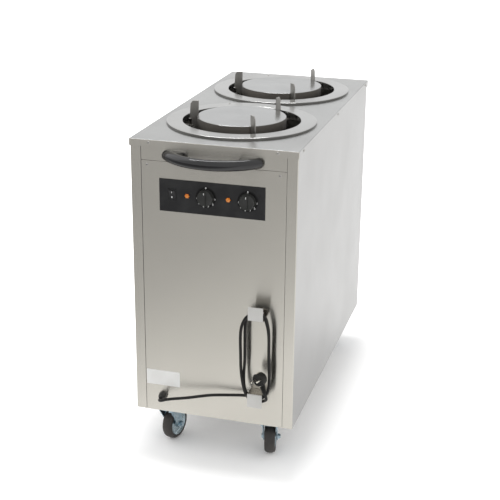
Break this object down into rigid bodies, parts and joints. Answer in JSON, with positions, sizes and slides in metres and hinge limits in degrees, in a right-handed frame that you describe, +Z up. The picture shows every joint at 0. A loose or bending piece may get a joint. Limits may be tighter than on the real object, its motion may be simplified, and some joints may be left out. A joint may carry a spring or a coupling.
{
  "type": "plate warmer cabinet",
  "caption": "Mobile heated plate dispenser: steel cabinet on casters with sprung plate wells, turning plate guides, dial controls and a mains lead wound on hooks.",
  "frame": {"origin": "on the floor under the centre of the cabinet with its handle and back screws, without the lead and plug", "axes": "+Z up, front with the controls towards -Y, +X to the right seen from the front"},
  "size_m": [0.4844, 1.0472, 1],
  "materials": {
    "brushed_steel": "satin brushed stainless sheet",
    "polished_steel": "bright polished stainless",
    "spring_steel": "plain spring wire",
    "element_sheath": "heat-tinted element sheath",
    "black_rubber": "matt black rubber",
    "white_nylon": "natural nylon",
    "black_plastic": "black moulded plastic",
    "amber_lens": "clear amber",
    "thermostat_metal": "plated steel and aluminium",
    "blue_zinc": "blue passivated zinc plate on steel",
    "pin_brass": "nickel-plated brass",
    "hook_paint": "light grey paint on steel",
    "label_film": "white film",
    "wheel_metal": "cast wheel centre",
    "tyre_rubber": "dark brown-black rubber"
  },
  "bodies": {
    "cabinet": {"base_tray": "brushed_steel", "left_side_panel": "brushed_steel", "right_side_panel": "brushed_steel", "back_panel": "brushed_steel", "upper_front_panel": "brushed_steel", "access_panel": "brushed_steel", "lid_top": "brushed_steel", "front_well_ring": "polished_steel", "rear_well_ring": "polished_steel", "front_well_liner": "brushed_steel", "rear_well_liner": "brushed_steel", "guide_rods": "polished_steel", "front_lift_springs": "spring_steel", "rear_lift_springs": "spring_steel", "stop_buffers": "black_rubber", "heating_elements": "element_sheath", "control_panel": "black_plastic", "switch_housing": "black_plastic", "lamp_bezels": "black_plastic", "lamp_lenses": "amber_lens", "thermostats": "thermostat_metal", "terminal_block": "white_nylon", "wiring_loom": "black_plastic", "handle": "black_plastic", "handle_bolts": "blue_zinc", "cable_gland": "black_plastic", "mains_cord": "black_rubber", "mains_plug": "black_plastic", "plug_pins": "pin_brass", "cord_hooks": "hook_paint", "blank_label": "label_film", "cover_screws": "brushed_steel", "caster_heads": "blue_zinc"},
    "front_lift": {"front_platform": "polished_steel", "front_carrier": "brushed_steel", "front_slide_bushes": "white_nylon"},
    "rear_lift": {"rear_platform": "polished_steel", "rear_carrier": "brushed_steel", "rear_slide_bushes": "white_nylon"},
    "front_left_guide_body": {"front_left_guide": "polished_steel"},
    "front_near_guide_body": {"front_near_guide": "polished_steel"},
    "front_far_guide_body": {"front_far_guide": "polished_steel"},
    "rear_left_guide_body": {"rear_left_guide": "polished_steel"},
    "rear_near_guide_body": {"rear_near_guide": "polished_steel"},
    "rear_far_guide_body": {"rear_far_guide": "polished_steel"},
    "front_knob": {"front_dial_knob": "black_plastic"},
    "rear_knob": {"rear_dial_knob": "black_plastic"},
    "rocker": {"switch_rocker": "black_plastic"},
    "front_left_swivel": {"front_left_fork": "blue_zinc"},
    "front_left_wheel_body": {"front_left_wheel": "wheel_metal", "front_left_tyre": "tyre_rubber"},
    "front_right_swivel": {"front_right_fork": "blue_zinc"},
    "front_right_wheel_body": {"front_right_wheel": "wheel_metal", "front_right_tyre": "tyre_rubber"},
    "rear_left_swivel": {"rear_left_fork": "blue_zinc"},
    "rear_left_wheel_body": {"rear_left_wheel": "wheel_metal", "rear_left_tyre": "tyre_rubber"},
    "rear_right_swivel": {"rear_right_fork": "blue_zinc"},
    "rear_right_wheel_body": {"rear_right_wheel": "wheel_metal", "rear_right_tyre": "tyre_rubber"}
  },
  "joints": [
    {"name": "front_lift_slide", "type": "slide", "parent": "cabinet", "child": "front_lift", "axis": [0, 0, -1], "range_m": [0, 0.5], "stiffness_N_per_m": 750, "springref_m": -0.06, "deforming": ["front_lift_springs"]},
    {"name": "rear_lift_slide", "type": "slide", "parent": "cabinet", "child": "rear_lift", "axis": [0, 0, -1], "range_m": [0, 0.5], "stiffness_N_per_m": 750, "springref_m": -0.06, "deforming": ["rear_lift_springs"]},
    {"name": "front_left_guide_turn", "type": "hinge", "parent": "cabinet", "child": "front_left_guide_body", "pos_m": [-0.157, -0.1716, 0.9], "axis": [0, 0, 1], "range_deg": [-15, 60]},
    {"name": "front_near_guide_turn", "type": "hinge", "parent": "cabinet", "child": "front_near_guide_body", "pos_m": [0.0785, -0.30757, 0.9], "axis": [0, 0, 1], "range_deg": [-15, 60]},
    {"name": "front_far_guide_turn", "type": "hinge", "parent": "cabinet", "child": "front_far_guide_body", "pos_m": [0.0785, -0.03563, 0.9], "axis": [0, 0, 1], "range_deg": [-15, 60]},
    {"name": "rear_left_guide_turn", "type": "hinge", "parent": "cabinet", "child": "rear_left_guide_body", "pos_m": [-0.157, 0.2784, 0.9], "axis": [0, 0, 1], "range_deg": [-15, 60]},
    {"name": "rear_near_guide_turn", "type": "hinge", "parent": "cabinet", "child": "rear_near_guide_body", "pos_m": [0.0785, 0.14243, 0.9], "axis": [0, 0, 1], "range_deg": [-15, 60]},
    {"name": "rear_far_guide_turn", "type": "hinge", "parent": "cabinet", "child": "rear_far_guide_body", "pos_m": [0.0785, 0.41437, 0.9], "axis": [0, 0, 1], "range_deg": [-15, 60]},
    {"name": "front_dial_turn", "type": "hinge", "parent": "cabinet", "child": "front_knob", "pos_m": [-0.0195, -0.4471, 0.8], "axis": [0, 1, 0], "range_deg": [0, 270]},
    {"name": "rear_dial_turn", "type": "hinge", "parent": "cabinet", "child": "rear_knob", "pos_m": [0.099, -0.4471, 0.8], "axis": [0, 1, 0], "range_deg": [0, 270]},
    {"name": "rocker_tip", "type": "hinge", "parent": "cabinet", "child": "rocker", "pos_m": [-0.117, -0.4471, 0.8], "axis": [-1, 0, 0], "range_deg": [0, 16]},
    {"name": "front_left_swivel_turn", "type": "hinge", "parent": "cabinet", "child": "front_left_swivel", "pos_m": [-0.158, -0.3956, 0.12], "axis": [0, 0, 1], "continuous": true},
    {"name": "front_left_wheel_spin", "type": "hinge", "parent": "front_left_swivel", "child": "front_left_wheel_body", "pos_m": [-0.15035, -0.36247, 0.05], "axis": [0.9744, -0.225, 0], "continuous": true},
    {"name": "front_right_swivel_turn", "type": "hinge", "parent": "cabinet", "child": "front_right_swivel", "pos_m": [0.158, -0.3956, 0.12], "axis": [0, 0, 1], "continuous": true},
    {"name": "front_right_wheel_spin", "type": "hinge", "parent": "front_right_swivel", "child": "front_right_wheel_body", "pos_m": [0.15151, -0.36223, 0.05], "axis": [0.9816, 0.1908, 0], "continuous": true},
    {"name": "rear_left_swivel_turn", "type": "hinge", "parent": "cabinet", "child": "rear_left_swivel", "pos_m": [-0.158, 0.4684, 0.12], "axis": [0, 0, 1], "continuous": true},
    {"name": "rear_left_wheel_spin", "type": "hinge", "parent": "rear_left_swivel", "child": "rear_left_wheel_body", "pos_m": [-0.15327, 0.43473, 0.05], "axis": [-0.9903, -0.1392, 0], "continuous": true},
    {"name": "rear_right_swivel_turn", "type": "hinge", "parent": "cabinet", "child": "rear_right_swivel", "pos_m": [0.158, 0.4684, 0.12], "axis": [0, 0, 1], "continuous": true},
    {"name": "rear_right_wheel_spin", "type": "hinge", "parent": "rear_right_swivel", "child": "rear_right_wheel_body", "pos_m": [0.15386, 0.43465, 0.05], "axis": [-0.9925, 0.1219, 0], "continuous": true}
  ]
}
